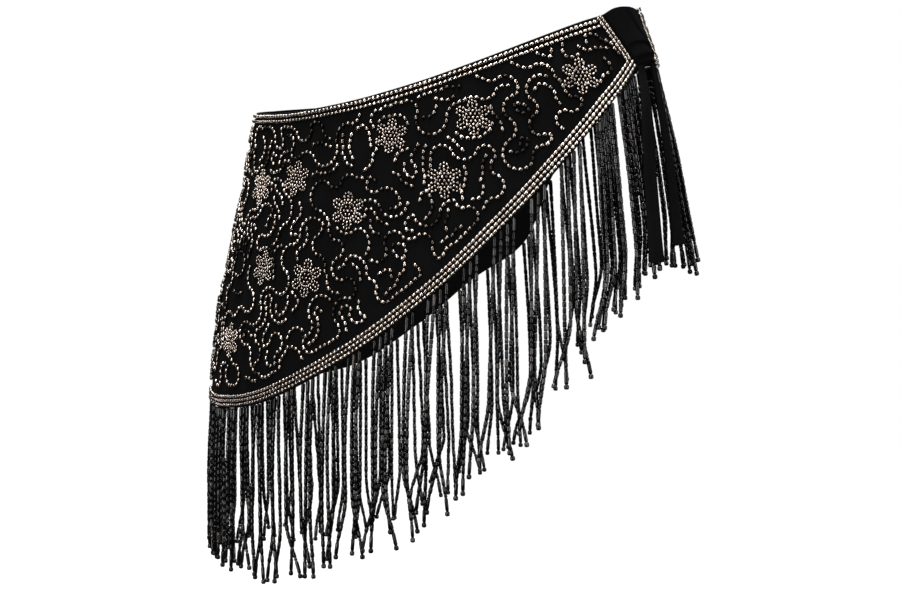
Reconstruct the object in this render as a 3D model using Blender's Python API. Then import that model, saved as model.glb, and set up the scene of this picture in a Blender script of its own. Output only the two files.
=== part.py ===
# Beaded hip belt, in the hollow form it takes when it is worn.
# Two beaded cloth panels run round the hips from a cloth tie on one side, deepest on the other.
# Beaded borders edge them, beaded flowers lie on them, and strands of bugle beads hang from the hem.
# Metres, +Z up. -Y is the front of the wearer and +X the side with the tie. The origin is on the
# axis of the figure, in the slanted opening at the waist, where the wearer's hips hold the belt.
import math
import random
from collections import namedtuple

import bmesh
import bpy
from mathutils import Vector

# The figure under the belt: an oval ring at each height
FIGURE_DEPTH = 0.65            # front to back, as a share of side to side
FIGURE_TOP = 0.05              # height of the first half width
FIGURE_STEP = 0.05             # height from one half width down to the next
HALF_WIDTHS = (0.1295, 0.1447, 0.1563, 0.1665, 0.1775, 0.1866, 0.1912, 0.1912, 0.1912, 0.1912)

# Cloth and beadwork
CLOTH = 0.0015                 # thickness of the lined crepe
GAP = 0.0003                   # clearance between pieces that touch
BEAD = 0.0023                  # how proud the beadwork stands
EDGE_MARGIN = 0.0006           # bare cloth between an edge and the first bead row
ROW_PITCH = 0.0036             # from one bead row to the next
TOP_ROWS = 2
END_ROWS = 2
HEM_ROWS = 3
CORNER = 1.4 * (EDGE_MARGIN + END_ROWS * ROW_PITCH + GAP)  # where the other rows start, past the end's
SEAM_TURN = 0.1                # half of the gap in a seam, in degrees round the figure
PROBE = 0.01                   # step off the form that finds which way is out

# Cut of each panel, a section for each line from its top edge down to its hem, starting at the tie
# Turns are degrees round the figure from its middle, in front or behind, towards the tie
Section = namedtuple("Section", "top_turn top_height hem_turn hem_height")
PANELS = {
    "front": (
        Section(71.0, 0.0334, 81.9, -0.0006),
        Section(61.5, 0.0294, 73.5, -0.0134),
        Section(51.3, 0.0234, 62.6, -0.0320),
        Section(39.0, 0.0145, 48.6, -0.0620),
        Section(25.0, 0.0028, 32.4, -0.1027),
        Section(8.5, -0.0112, 14.4, -0.1509),
        Section(-10.0, -0.0240, -5.0, -0.1954),
        Section(-30.0, -0.0327, -27.5, -0.2312),
        Section(-50.0, -0.0360, -48.5, -0.2445),
        Section(-70.0, -0.0374, -69.5, -0.2470),
        Section(SEAM_TURN - 90, -0.0380, SEAM_TURN - 90, -0.2475),
    ),
    "back": (
        Section(82.0, 0.0366, 79.5, -0.0040),
        Section(68.0, 0.0330, 65.0, -0.0020),
        Section(54.0, 0.0275, 51.0, -0.0040),
        Section(40.0, 0.0200, 37.0, -0.0180),
        Section(26.0, 0.0100, 22.0, -0.0460),
        Section(12.0, -0.0010, 7.5, -0.0830),
        Section(2.0, -0.0078, -2.5, -0.1360),
        Section(-14.0, -0.0180, -17.0, -0.1675),
        Section(-30.0, -0.0270, -30.5, -0.2025),
        Section(-46.0, -0.0328, -46.0, -0.2335),
        Section(-66.0, -0.0368, -66.0, -0.2450),
        Section(SEAM_TURN - 90, -0.0380, SEAM_TURN - 90, -0.2475),
    ),
}
PANEL_COLUMNS = 46
PANEL_ROWS = 7
BORDER_SEGMENTS = {"end": 6, "top": 40, "hem": 46}
END_REACH = (0.02, 0.98)       # stretch of a panel's end that its bead rows cover

# Soft flutes that the cloth falls into below the hips, at turns measured from the front
Flute = namedtuple("Flute", "turn depth breadth")
FLUTES = (
    Flute(-76.0, 0.0022, 9.0),
    Flute(-22.0, 0.0014, 8.0),
    Flute(206.0, 0.0026, 8.0),
    Flute(240.0, 0.0024, 9.0),
)
FLUTE_START = -0.06            # height where a flute begins
FLUTE_FALL = 0.16              # height over which it grows to its depth

# Flowers of six petals: where each stands along a panel from the tie, and down it from the top
Flower = namedtuple("Flower", "along down radius")
FLOWERS = {
    "front": (
        Flower(0.202, 0.53, 0.0120),
        Flower(0.414, 0.31, 0.0117),
        Flower(0.536, 0.20, 0.0115),
        Flower(0.467, 0.53, 0.0119),
        Flower(0.598, 0.43, 0.0126),
        Flower(0.682, 0.24, 0.0122),
        Flower(0.764, 0.25, 0.0128),
        Flower(0.724, 0.53, 0.0122),
        Flower(0.650, 0.62, 0.0130),
        Flower(0.785, 0.77, 0.0124),
        Flower(0.905, 0.48, 0.0124),
    ),
    "back": (
        Flower(0.378, 0.405, 0.0112),
        Flower(0.468, 0.30, 0.0117),
        Flower(0.556, 0.52, 0.0117),
        Flower(0.582, 0.23, 0.0117),
        Flower(0.628, 0.60, 0.0124),
        Flower(0.690, 0.27, 0.0122),
        Flower(0.684, 0.77, 0.0122),
        Flower(0.755, 0.55, 0.0124),
        Flower(0.800, 0.22, 0.0126),
        Flower(0.840, 0.79, 0.0124),
        Flower(0.905, 0.45, 0.0124),
    ),
}
PETALS = 6
PETAL_WAIST = 0.62             # radius between two petals, as a share of the flower's
PETAL_POINTS = 3
HEART = 0.31                   # radius of the flower's inner ring, as a share of the flower's
FLOWER_TOP = 0.95              # size of a flower's face, as a share of its foot
FLOWER_LIFT = 0.00045          # clearance that clears the corners in the cloth's facets

# Cloth tie between the ends of the panels, in turns from the front
TIE = (
    Section(71.2, 0.0334, 81.85, 0.0002),
    Section(76.5, 0.0380, 86.5, 0.0028),
    Section(84.5, 0.0390, 92.0, 0.0036),
    Section(97.8, 0.0360, 100.0, 0.0010),
)
TIE_BULGE = 0.0045             # how far the drawn cloth stands out in the middle
TIE_FULLNESS = 0.8             # under 1 spreads the bulge towards both ends
TIE_COLUMNS = 10
TIE_ROWS = 5

# Tails of the tie: turn, width and clearance from the figure, at even shares of the way down
Tail = namedtuple("Tail", "top length falls")
Fall = namedtuple("Fall", "turn width proud")
TAILS = {
    "tail_front": Tail(-0.0001, 0.128, (Fall(84.3, 0.0070, 0.0022), Fall(78.4, 0.0080, 0.0086),
                                        Fall(75.8, 0.0082, 0.0090), Fall(73.9, 0.0082, 0.0098),
                                        Fall(72.1, 0.0084, 0.0108))),
    "tail_rear": Tail(0.0010, 0.121, (Fall(95.3, 0.0096, 0.0022), Fall(94.4, 0.0115, 0.0016),
                                      Fall(93.0, 0.0130, 0.0010), Fall(89.6, 0.0140, 0.0010))),
}
TAIL_ROWS = 9

# Fringe: a narrow tape under each hem, and a strand of beads for each step along it
STRAND = 0.0024                # breadth of a strand
STRAND_PITCH = 0.0062          # from one strand to the next on average, as seen from above
GROUP_SIZES = (2, 3, 3, 4, 5)  # strands that are sewn close together
GROUP_STEP = 0.0042            # from one strand to the next in a group
TAPE_HEIGHT = 0.0025
TAPE_PROUD = 0.0015
LAYERS = (0.0012, 0.0048)      # clearance of the two layers of strands from the figure
FLARE = 0.0025                 # how much farther off the figure the tips hang
LENGTHS = {                    # of a strand, at even steps along the hem from the tie
    "front": (0.128, 0.142, 0.156, 0.141, 0.112, 0.110),
    "back": (0.138, 0.142, 0.148, 0.150, 0.138, 0.114),
}
LENGTH_SCATTER = 0.006         # most that a strand is longer or shorter than its neighbours
STRAND_STOPS = (0.05, 0.36, 0.68, 1.0)
SWAY = 0.0014                  # sideways swing of a layer of strands
SWAY_WAVES = (7.0, 9.0)        # swings round the figure, for each layer
FALL_STEP = 0.02               # height of each step of a strand down the form
SEED = 11


def smooth(rows, place):
    """Values at a place from 0 to 1 along a table, on a smooth curve through its rows."""
    last = len(rows) - 1
    spot = min(max(place, 0.0), 1.0) * last
    first = min(int(spot), last - 1)
    f = spot - first
    near = [rows[min(max(first + step, 0), last)] for step in (-1, 0, 1, 2)]
    return [0.5 * (2 * b + (c - a) * f + (2 * a - 5 * b + 4 * c - d) * f ** 2
                   + (3 * b - a - 3 * c + d) * f ** 3)
            for a, b, c, d in zip(*near)]


def ease(share):
    """A share from 0 to 1, softened at both ends."""
    share = min(max(share, 0.0), 1.0)
    return share * share * (3 - 2 * share)


def half_width(height):
    """Half the figure's width at a height."""
    spot = (FIGURE_TOP - height) / FIGURE_STEP / (len(HALF_WIDTHS) - 1)
    return smooth([(width,) for width in HALF_WIDTHS], spot)[0]


def flute(turn, height):
    """How far the cloth stands off the figure in its soft flutes."""
    growth = ease((FLUTE_START - height) / FLUTE_FALL)
    off = 0.0
    for one in FLUTES:
        away = (turn - one.turn + 180) % 360 - 180
        off += one.depth * growth * math.exp(-(away / one.breadth) ** 2)
    return off


def form_point(turn, height, proud=0.0):
    """A point on the worn form at a turn from the front and a height, moved out by proud."""
    wide = half_width(height)
    deep = wide * FIGURE_DEPTH
    angle = math.radians(turn)
    out = Vector((math.sin(angle) / wide, -math.cos(angle) / deep, 0)).normalized()
    base = Vector((wide * math.sin(angle), -deep * math.cos(angle), height))
    return base + out * (proud + flute(turn, height))


def place_of(point):
    """The turn and height on the form of a point near it."""
    wide = half_width(point.z)
    return math.degrees(math.atan2(point.x / wide, -point.y / (wide * FIGURE_DEPTH))), point.z


def panel_place(side, along, down):
    """Turn from the front and height, at shares along a panel from the tie and down it."""
    row = Section(*smooth(PANELS[side], along))
    turn = row.top_turn + (row.hem_turn - row.top_turn) * down
    height = row.top_height + (row.hem_height - row.top_height) * down
    return (turn if side == "front" else 180 - turn), height


def edge_frame(side, edge, share):
    """Point on an edge of a panel, and the ways along it, into the panel and out of the form."""
    def place(s):
        if edge == "end":
            return panel_place(side, 0.0, s)
        return panel_place(side, s, 0.0 if edge == "top" else 1.0)
    step = 0.002
    before = form_point(*place(max(share - step, 0.0)))
    after = form_point(*place(min(share + step, 1.0)))
    turn, height = place(share)
    point = form_point(turn, height)
    along = (after - before).normalized()
    out = (form_point(turn, height, PROBE) - point).normalized()
    inward = out.cross(along).normalized()
    middle = form_point(*panel_place(side, *((0.1, share) if edge == "end" else (share, 0.5))))
    if inward.dot(middle - point) < 0:
        inward = -inward
    return point, along, inward, out


def inset_point(side, edge, share, inset, proud):
    """A point on the form, a distance in from a panel's edge and moved out by proud."""
    point, along, inward, out = edge_frame(side, edge, share)
    turn, height = place_of(point + inward * inset)
    if side == "front":
        turn = max(turn, SEAM_TURN - 90)
    else:
        turn = min(turn % 360, 270 - SEAM_TURN)
    return form_point(turn, height, proud)


def walk(side, edge, level=False, steps=200):
    """Distances walked along an edge of a panel, over the ground only where level is set."""
    walked = [0.0]
    before = edge_frame(side, edge, 0.0)[0]
    for i in range(1, steps + 1):
        here = edge_frame(side, edge, i / steps)[0]
        step = here - before
        walked.append(walked[-1] + (step.xy.length if level else step.length))
        before = here
    return walked


def share_at(walked, distance):
    """Share along an edge where a distance has been walked."""
    after = next((i for i, so_far in enumerate(walked) if so_far > distance), len(walked) - 1)
    before = after - 1
    part = (distance - walked[before]) / (walked[after] - walked[before])
    return (before + part) / (len(walked) - 1)


def finish(name, mesh, material, flat_angle=35):
    """Make a named object of a bmesh, with its faces pointing out."""
    bmesh.ops.recalc_face_normals(mesh, faces=mesh.faces)
    data = bpy.data.meshes.new(name)
    mesh.to_mesh(data)
    mesh.free()
    data.materials.append(material)
    data.shade_smooth()
    data.set_sharp_from_angle(angle=math.radians(flat_angle))
    thing = bpy.data.objects.new(name, data)
    bpy.context.scene.collection.objects.link(thing)
    return thing


def slab(name, point, columns, rows, material):
    """A closed wall of point(u, v, face), where face is 0 on the inside and 1 on the outside."""
    mesh = bmesh.new()
    grid = [[[mesh.verts.new(point(i / columns, j / rows, face)) for j in range(rows + 1)]
             for i in range(columns + 1)] for face in (0, 1)]
    for i in range(columns):
        for j in range(rows):
            for sheet in grid:
                mesh.faces.new((sheet[i][j], sheet[i + 1][j], sheet[i + 1][j + 1], sheet[i][j + 1]))
    inside, outside = grid
    for i in range(columns):
        for j in (0, rows):
            mesh.faces.new((inside[i][j], inside[i + 1][j], outside[i + 1][j], outside[i][j]))
    for j in range(rows):
        for i in (0, columns):
            mesh.faces.new((inside[i][j], inside[i][j + 1], outside[i][j + 1], outside[i][j]))
    return finish(name, mesh, material)


def make_material(name, colour, roughness, metallic, coat=0.0):
    """A Principled material."""
    material = bpy.data.materials.new(name)
    material.use_nodes = True
    shader = material.node_tree.nodes["Principled BSDF"]
    shader.inputs["Base Color"].default_value = (*colour, 1.0)
    shader.inputs["Roughness"].default_value = roughness
    shader.inputs["Metallic"].default_value = metallic
    shader.inputs["Coat Weight"].default_value = coat
    return material


def make_panel(side, material):
    """A panel's cloth, a wall between its top edge and its hem."""
    def point(along, down, face):
        turn, height = panel_place(side, along, down)
        return form_point(turn, height, face * CLOTH)
    return slab(f"panel_{side}", point, PANEL_COLUMNS, PANEL_ROWS, material)


def make_border(side, edge, rows, start, stop, material):
    """The band of bead rows that lies along an edge of a panel."""
    low = CLOTH + GAP

    def point(along, across, face):
        share = start + (stop - start) * along
        inset = EDGE_MARGIN + across * rows * ROW_PITCH
        return inset_point(side, edge, share, inset, low + face * BEAD)
    return slab(f"border_{edge}_{side}", point, BORDER_SEGMENTS[edge], 1, material)


def petal_share(number):
    """Reach of a flower's outline at one of its points: a petal's tip, or the waist between two."""
    return PETAL_WAIST if number % PETAL_POINTS == 0 else 1.0


def make_flower(name, side, flower, material):
    """A low beaded flower of six petals on a panel: a face and a foot, each with an inner ring."""
    turn, height = panel_place(side, flower.along, flower.down)
    centre = form_point(turn, height)
    across = (form_point(turn + 1, height) - centre).normalized()
    upward = (form_point(turn, height + PROBE) - centre).normalized()
    points = PETALS * PETAL_POINTS

    def spot(radius, number, proud):
        angle = math.tau * number / points
        where = centre + across * radius * math.cos(angle) + upward * radius * math.sin(angle)
        return form_point(*place_of(where), proud)

    mesh = bmesh.new()
    rims = []
    for proud, size in ((CLOTH + FLOWER_LIFT, 1.0), (CLOTH + FLOWER_LIFT + BEAD, FLOWER_TOP)):
        radius = flower.radius * size
        middle = mesh.verts.new(spot(0.0, 0, proud))
        heart = [mesh.verts.new(spot(radius * HEART, n, proud)) for n in range(points)]
        rim = [mesh.verts.new(spot(radius * petal_share(n), n, proud)) for n in range(points)]
        for n in range(points):
            after = (n + 1) % points
            mesh.faces.new((middle, heart[n], heart[after]))
            mesh.faces.new((heart[n], rim[n], rim[after], heart[after]))
        rims.append(rim)
    foot, face = rims
    for n in range(points):
        after = (n + 1) % points
        mesh.faces.new((foot[n], foot[after], face[after], face[n]))
    return finish(name, mesh, material, 50)


def make_tie(material):
    """The tie's cloth, drawn across from the end of the front panel to that of the back."""
    def point(along, down, face):
        row = Section(*smooth(TIE, along))
        turn = row.top_turn + (row.hem_turn - row.top_turn) * down
        height = row.top_height + (row.hem_height - row.top_height) * down
        bulge = TIE_BULGE * math.sin(math.pi * along) ** TIE_FULLNESS
        return form_point(turn, height, bulge + face * CLOTH)
    return slab("tie_tab", point, TIE_COLUMNS, TIE_ROWS, material)


def make_tail(name, tail, material):
    """A plain tail of the tie, hanging under it."""
    speed = half_width(0.0) * FIGURE_DEPTH * math.pi / 180     # metres to a degree at the tie

    def point(across, down, face):
        turn, width, proud = smooth(tail.falls, down)
        turn += (across - 0.5) * width / speed
        return form_point(turn, tail.top - down * tail.length, proud + face * CLOTH)
    return slab(name, point, 2, TAIL_ROWS, material)


def fallen_turn(turn, start, height):
    """The turn a strand comes to when it falls straight down the form to a height."""
    while start > height:
        low = max(start - FALL_STEP, height)
        here = form_point(turn, start)
        out = (form_point(turn, start, PROBE) - here).normalized()
        pushed = (form_point(turn, low) - here).dot(out)
        landed = here + out * pushed
        turn = place_of(Vector((landed.x, landed.y, low)))[0]
        start = low
    return turn


def strand_path(side, share, number, scatter):
    """Points down the middle of a strand, from its root on the hem to its tip."""
    turn, height = panel_place(side, share, 1.0)
    length = smooth([(one,) for one in LENGTHS[side]], share)[0] + scatter
    layer = number % len(LAYERS)
    root = inset_point(side, "hem", share, -TAPE_HEIGHT - GAP, 0.0)
    path = []
    for stop in STRAND_STOPS:
        low = root.z - stop * length
        speed = half_width(low) * FIGURE_DEPTH ** 0.5 * math.pi / 180
        swing = SWAY * ease(stop) * math.sin(math.radians(turn) * SWAY_WAVES[layer] + layer * 2)
        proud = LAYERS[layer] + FLARE * ease(stop)
        path.append(form_point(fallen_turn(turn, height, low) + swing / speed, low, proud))
    return path


def strand_shares(side):
    """Shares along a hem of its strands, which are sewn in uneven groups."""
    ground = walk(side, "hem", level=True)
    count = int(ground[-1] / STRAND_PITCH)
    chance = random.Random(SEED + len(side))
    shares = []
    while len(shares) < count:
        size = min(chance.choice(GROUP_SIZES), count - len(shares))
        middle = (len(shares) + size / 2) * ground[-1] / count
        for number in range(size):
            shares.append(share_at(ground, middle + (number - (size - 1) / 2) * GROUP_STEP))
    return shares


def tape_ring(side, share):
    """Corners of the tape where it is cut across, from inside top round to inside bottom."""
    low, high = TAPE_PROUD, TAPE_PROUD + STRAND
    top, bottom = -GAP, -GAP - TAPE_HEIGHT
    return [inset_point(side, "hem", share, inset, proud)
            for inset, proud in ((top, low), (top, high), (bottom, high), (bottom, low))]


def strand_ring(point, ahead):
    """Corners of a strand round a point on its path, in the order of the tape face it grows from."""
    turn, height = place_of(point)
    out = form_point(turn, height, PROBE) - form_point(turn, height)
    out = Vector((out.x, out.y, 0)).normalized() * STRAND / 2
    beside = out.cross(Vector((0, 0, 1)))
    if beside.dot(ahead) < 0:
        beside = -beside
    return [point + corner for corner in (-out - beside, out - beside, out + beside, -out + beside)]


def make_fringe(side, material):
    """A tape under a hem with its strands, each grown from its own face under the tape."""
    chance = random.Random(SEED + len(side))
    shares = strand_shares(side)
    hem = walk(side, "hem")
    cuts = []
    for share in shares:
        spot = share * (len(hem) - 1)
        speed = (hem[int(spot) + 1] - hem[int(spot)]) * (len(hem) - 1)
        cuts += [share - STRAND / 2 / speed, share + STRAND / 2 / speed]
    mesh = bmesh.new()
    rings = [[mesh.verts.new(corner) for corner in tape_ring(side, cut)] for cut in cuts]
    mesh.faces.new(rings[0])
    mesh.faces.new(rings[-1])
    for number, (before, after) in enumerate(zip(rings, rings[1:])):
        over_strand = number % 2 == 0
        for a, b in ((0, 1), (1, 2), (2, 3), (3, 0)):
            if not (over_strand and a == 2):
                mesh.faces.new((before[a], before[b], after[b], after[a]))
    for number, share in enumerate(shares):
        before, after = rings[2 * number], rings[2 * number + 1]
        ahead = after[2].co - before[2].co
        ring = [before[3], before[2], after[2], after[3]]
        scatter = chance.uniform(-1, 1) * LENGTH_SCATTER
        for point in strand_path(side, share, number, scatter):
            fresh = [mesh.verts.new(corner) for corner in strand_ring(point, ahead)]
            for a, b in ((0, 1), (1, 2), (2, 3), (3, 0)):
                mesh.faces.new((ring[a], ring[b], fresh[b], fresh[a]))
            ring = fresh
        mesh.faces.new(ring)
    return finish(f"fringe_{side}", mesh, material)


def make_belt():
    """Every piece of the belt."""
    cloth = make_material("black_crepe", (0.012, 0.012, 0.013), 0.85, 0.0)
    pewter = make_material("pewter_beads", (0.42, 0.34, 0.28), 0.28, 1.0)
    bugle = make_material("black_bugles", (0.01, 0.01, 0.012), 0.12, 0.0, 0.6)
    for side in PANELS:
        make_panel(side, cloth)
        make_border(side, "end", END_ROWS, *END_REACH, pewter)
        for edge, rows in (("top", TOP_ROWS), ("hem", HEM_ROWS)):
            make_border(side, edge, rows, share_at(walk(side, edge), CORNER), 1.0, pewter)
        for number, flower in enumerate(FLOWERS[side], 1):
            make_flower(f"flower_{side}_{number:02d}", side, flower, pewter)
        make_fringe(side, bugle)
    make_tie(cloth)
    for name, tail in TAILS.items():
        make_tail(name, tail, cloth)


for old in list(bpy.data.objects):
    bpy.data.objects.remove(old, do_unlink=True)
make_belt()
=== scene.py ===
# %% [markdown]
# # A beaded hip belt
# The real thing is a belt for the stage: two shaped panels of black crepe round the hips, tied at one side,
# with rows of metal-coated seed beads along the edges, scrolls and flowers of the same beads all over, and
# a long fringe of black bugle beads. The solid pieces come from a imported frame, which says where everything
# sits. This script dresses that frame: it keeps every size and place, and adds thin cloth, every bead and
# the finishes.

import math
import random
from collections import namedtuple

import bmesh
import bpy
import numpy as np
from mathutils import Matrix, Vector


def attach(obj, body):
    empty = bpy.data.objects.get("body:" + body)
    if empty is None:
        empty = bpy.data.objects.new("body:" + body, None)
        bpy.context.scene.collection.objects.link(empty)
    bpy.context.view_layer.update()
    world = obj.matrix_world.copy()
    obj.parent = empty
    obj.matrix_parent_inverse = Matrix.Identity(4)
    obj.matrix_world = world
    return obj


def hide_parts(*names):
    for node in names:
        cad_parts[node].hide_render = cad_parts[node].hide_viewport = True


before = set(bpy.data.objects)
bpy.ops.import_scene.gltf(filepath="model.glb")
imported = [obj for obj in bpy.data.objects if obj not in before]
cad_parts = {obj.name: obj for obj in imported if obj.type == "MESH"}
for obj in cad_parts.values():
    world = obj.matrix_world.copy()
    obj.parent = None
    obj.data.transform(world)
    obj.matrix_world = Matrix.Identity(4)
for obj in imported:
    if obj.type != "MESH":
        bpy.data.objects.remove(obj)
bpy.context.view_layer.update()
print("Nodes in the frame:", len(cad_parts))

# %% [markdown]
# ## The worn form
# Every piece lies on one surface, the figure that fills the belt: an oval ring at each height, wider
# further down. A place on it is a turn round the figure, in degrees from the front, and a height. Working
# in turns and heights keeps cloth and beads on the same skin, so that nothing has to be fitted by eye
# afterwards. The numbers are the ones that the frame was made with, because the frame keeps solids and not
# the rule behind them.

# %% Sizes of the figure and its cloth
FIGURE_DEPTH = 0.65            # front to back, as a share of side to side
FIGURE_TOP = 0.05              # height of the first half width
FIGURE_STEP = 0.05             # height from one half width down to the next
HALF_WIDTHS = (0.1295, 0.1447, 0.1563, 0.1665, 0.1775, 0.1866, 0.1912, 0.1912, 0.1912, 0.1912)
CLOTH = 0.0015                 # thickness of the lined crepe
SEAM_TURN = 0.1                # half of the gap in a seam, in degrees
PROBE = 0.01                   # step off the form that finds which way is out
Flute = namedtuple("Flute", "turn depth breadth")
FLUTES = (
    Flute(-76.0, 0.0022, 9.0),
    Flute(-22.0, 0.0014, 8.0),
    Flute(206.0, 0.0026, 8.0),
    Flute(240.0, 0.0024, 9.0),
)
FLUTE_START = -0.06            # height where the soft flutes begin
FLUTE_FALL = 0.16              # height over which they grow
print("The figure is", 2 * HALF_WIDTHS[0], "m wide at its top and", 2 * HALF_WIDTHS[-1], "m at its foot")


# %% Smooth curves through short tables
def smooth(rows, place):
    """Values at a place from 0 to 1 along a table, on a smooth curve through its rows."""
    last = len(rows) - 1
    spot = min(max(place, 0.0), 1.0) * last
    first = min(int(spot), last - 1)
    f = spot - first
    near = [rows[min(max(first + step, 0), last)] for step in (-1, 0, 1, 2)]
    return [0.5 * (2 * b + (c - a) * f + (2 * a - 5 * b + 4 * c - d) * f ** 2
                   + (3 * b - a - 3 * c + d) * f ** 3)
            for a, b, c, d in zip(*near)]


def ease(share):
    """A share from 0 to 1, softened at both ends."""
    share = min(max(share, 0.0), 1.0)
    return share * share * (3 - 2 * share)


print("Quarters, eased:", [round(ease(step / 4), 3) for step in range(5)])


# %% [markdown]
# ## Soft relief in the cloth
# Crepe that is sewn with beads lies nearly flat, but it is drawn from the tie towards the deep side, and
# the stitching puckers it a little. Simulating that would only blur it, so a few long creases are listed,
# as shallow troughs and ridges between two places on the form. Beads ask the same rule where the
# cloth is, so they stay sewn to it.

# %% Creases
Crease = namedtuple("Crease", "turn height to_turn to_height lift breadth")
CREASES = (
    Crease(66.0, 0.012, 18.0, -0.050, 0.0010, 0.010),
    Crease(58.0, -0.004, 30.0, -0.066, -0.0007, 0.008),
    Crease(30.0, -0.020, -30.0, -0.105, 0.0009, 0.013),
    Crease(-8.0, -0.070, -52.0, -0.215, 0.0011, 0.012),
    Crease(-40.0, -0.060, -84.0, -0.110, -0.0009, 0.012),
    Crease(-48.0, -0.150, -88.0, -0.190, 0.0010, 0.013),
    Crease(100.0, 0.010, 140.0, -0.020, 0.0009, 0.009),
    Crease(150.0, 0.000, 200.0, -0.110, 0.0010, 0.013),
    Crease(175.0, -0.040, 236.0, -0.170, -0.0009, 0.012),
    Crease(214.0, -0.060, 262.0, -0.120, 0.0010, 0.012),
)
DEGREE = 0.0027                # metres to a degree round the figure, on average
CREASE_PAST = 0.3              # share of its length that a crease runs on past both ends
CREASE_FADE = 0.5              # share over which it fades in and out
print("Creases:", len(CREASES))


# %% The surface that everything lies on
def half_width(height):
    """Half the figure's width at a height."""
    spot = (FIGURE_TOP - height) / FIGURE_STEP / (len(HALF_WIDTHS) - 1)
    return smooth([(width,) for width in HALF_WIDTHS], spot)[0]


def turned_from(turn, other):
    """Degrees from one turn to another, the short way round."""
    return (turn - other + 180) % 360 - 180


def relief(turn, height):
    """How far the cloth stands off the figure in its flutes."""
    growth = ease((FLUTE_START - height) / FLUTE_FALL)
    shares = (math.exp(-(turned_from(turn, one.turn) / one.breadth) ** 2) for one in FLUTES)
    return sum(one.depth * growth * share for one, share in zip(FLUTES, shares))


def crease_lift(turn, height):
    """Rise or fall of the creases at a place."""
    lift = 0.0
    for one in CREASES:
        x = turned_from(turn, one.turn) * DEGREE
        y = height - one.height
        run_x = (one.to_turn - one.turn) * DEGREE
        run_y = one.to_height - one.height
        long = math.hypot(run_x, run_y)
        along = (x * run_x + y * run_y) / long ** 2
        across = (x * run_y - y * run_x) / long
        if -CREASE_PAST < along < 1 + CREASE_PAST:
            fade = ease((along + CREASE_PAST) / CREASE_FADE) * ease((1 + CREASE_PAST - along) / CREASE_FADE)
            lift += one.lift * fade * math.exp(-(across / one.breadth) ** 2)
    return lift


def form_point(turn, height, proud=0.0):
    """A point on the worn form at a turn from the front and a height, moved out by proud."""
    wide = half_width(height)
    deep = wide * FIGURE_DEPTH
    angle = math.radians(turn)
    out = Vector((math.sin(angle) / wide, -math.cos(angle) / deep, 0)).normalized()
    base = Vector((wide * math.sin(angle), -deep * math.cos(angle), height))
    return base + out * (proud + relief(turn, height))


def on_cloth(turn, height, proud):
    """A point on the creased cloth, moved out by proud."""
    return form_point(turn, height, proud + crease_lift(turn, height))


def way_out(turn, height):
    """The way straight out of the form at a place."""
    return (form_point(turn, height, PROBE) - form_point(turn, height)).normalized()


def place_of(point):
    """The turn and height on the form of a point near it."""
    wide = half_width(point.z)
    return math.degrees(math.atan2(point.x / wide, -point.y / (wide * FIGURE_DEPTH))), point.z


print("Front of the figure at the waist:", [round(value, 4) for value in form_point(0.0, 0.0)])


# %% [markdown]
# ## The cut of the panels
# Each panel is shallow at the tie and deep at the other hip. A row of the table is a line that runs from
# the top edge down to the hem, given as a turn and a height at both ends. The back panel's turns are
# counted from the back, so both tables start at the tie and end at the side seam.

# %% The two panels
Section = namedtuple("Section", "top_turn top_height hem_turn hem_height")
PANELS = {
    "front": (
        Section(71.0, 0.0334, 81.9, -0.0006),
        Section(61.5, 0.0294, 73.5, -0.0134),
        Section(51.3, 0.0234, 62.6, -0.0320),
        Section(39.0, 0.0145, 48.6, -0.0620),
        Section(25.0, 0.0028, 32.4, -0.1027),
        Section(8.5, -0.0112, 14.4, -0.1509),
        Section(-10.0, -0.0240, -5.0, -0.1954),
        Section(-30.0, -0.0327, -27.5, -0.2312),
        Section(-50.0, -0.0360, -48.5, -0.2445),
        Section(-70.0, -0.0374, -69.5, -0.2470),
        Section(SEAM_TURN - 90, -0.0380, SEAM_TURN - 90, -0.2475),
    ),
    "back": (
        Section(82.0, 0.0366, 79.5, -0.0040),
        Section(68.0, 0.0330, 65.0, -0.0020),
        Section(54.0, 0.0275, 51.0, -0.0040),
        Section(40.0, 0.0200, 37.0, -0.0180),
        Section(26.0, 0.0100, 22.0, -0.0460),
        Section(12.0, -0.0010, 7.5, -0.0830),
        Section(2.0, -0.0078, -2.5, -0.1360),
        Section(-14.0, -0.0180, -17.0, -0.1675),
        Section(-30.0, -0.0270, -30.5, -0.2025),
        Section(-46.0, -0.0328, -46.0, -0.2335),
        Section(-66.0, -0.0368, -66.0, -0.2450),
        Section(SEAM_TURN - 90, -0.0380, SEAM_TURN - 90, -0.2475),
    ),
}


def place_on(rows, along, down):
    """Turn and height at shares along a table of sections and down it."""
    row = Section(*smooth(rows, along))
    turn = row.top_turn + (row.hem_turn - row.top_turn) * down
    height = row.top_height + (row.hem_height - row.top_height) * down
    return turn, height


def panel_place(side, along, down):
    """Turn from the front and height, at shares along a panel from the tie and down it."""
    turn, height = place_on(PANELS[side], along, down)
    return (turn if side == "front" else 180 - turn), height


def panel_point(side, along, down, proud=0.0):
    """A point on a panel's creased cloth."""
    return on_cloth(*panel_place(side, along, down), proud)


print("Sections:", {side: len(rows) for side, rows in PANELS.items()})


# %% Ways along and in from an edge
SMALL_SHARE = 0.002            # step along an edge or a panel that finds which way it runs
INSIDE = 0.1                   # share along a panel that is surely inside its end


def edge_point(side, edge, share):
    """A point on an edge of a panel, and its turn and height."""
    if edge == "end":
        place = panel_place(side, 0.0, share)
    else:
        place = panel_place(side, share, 0.0 if edge == "top" else 1.0)
    return form_point(*place), place


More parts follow.
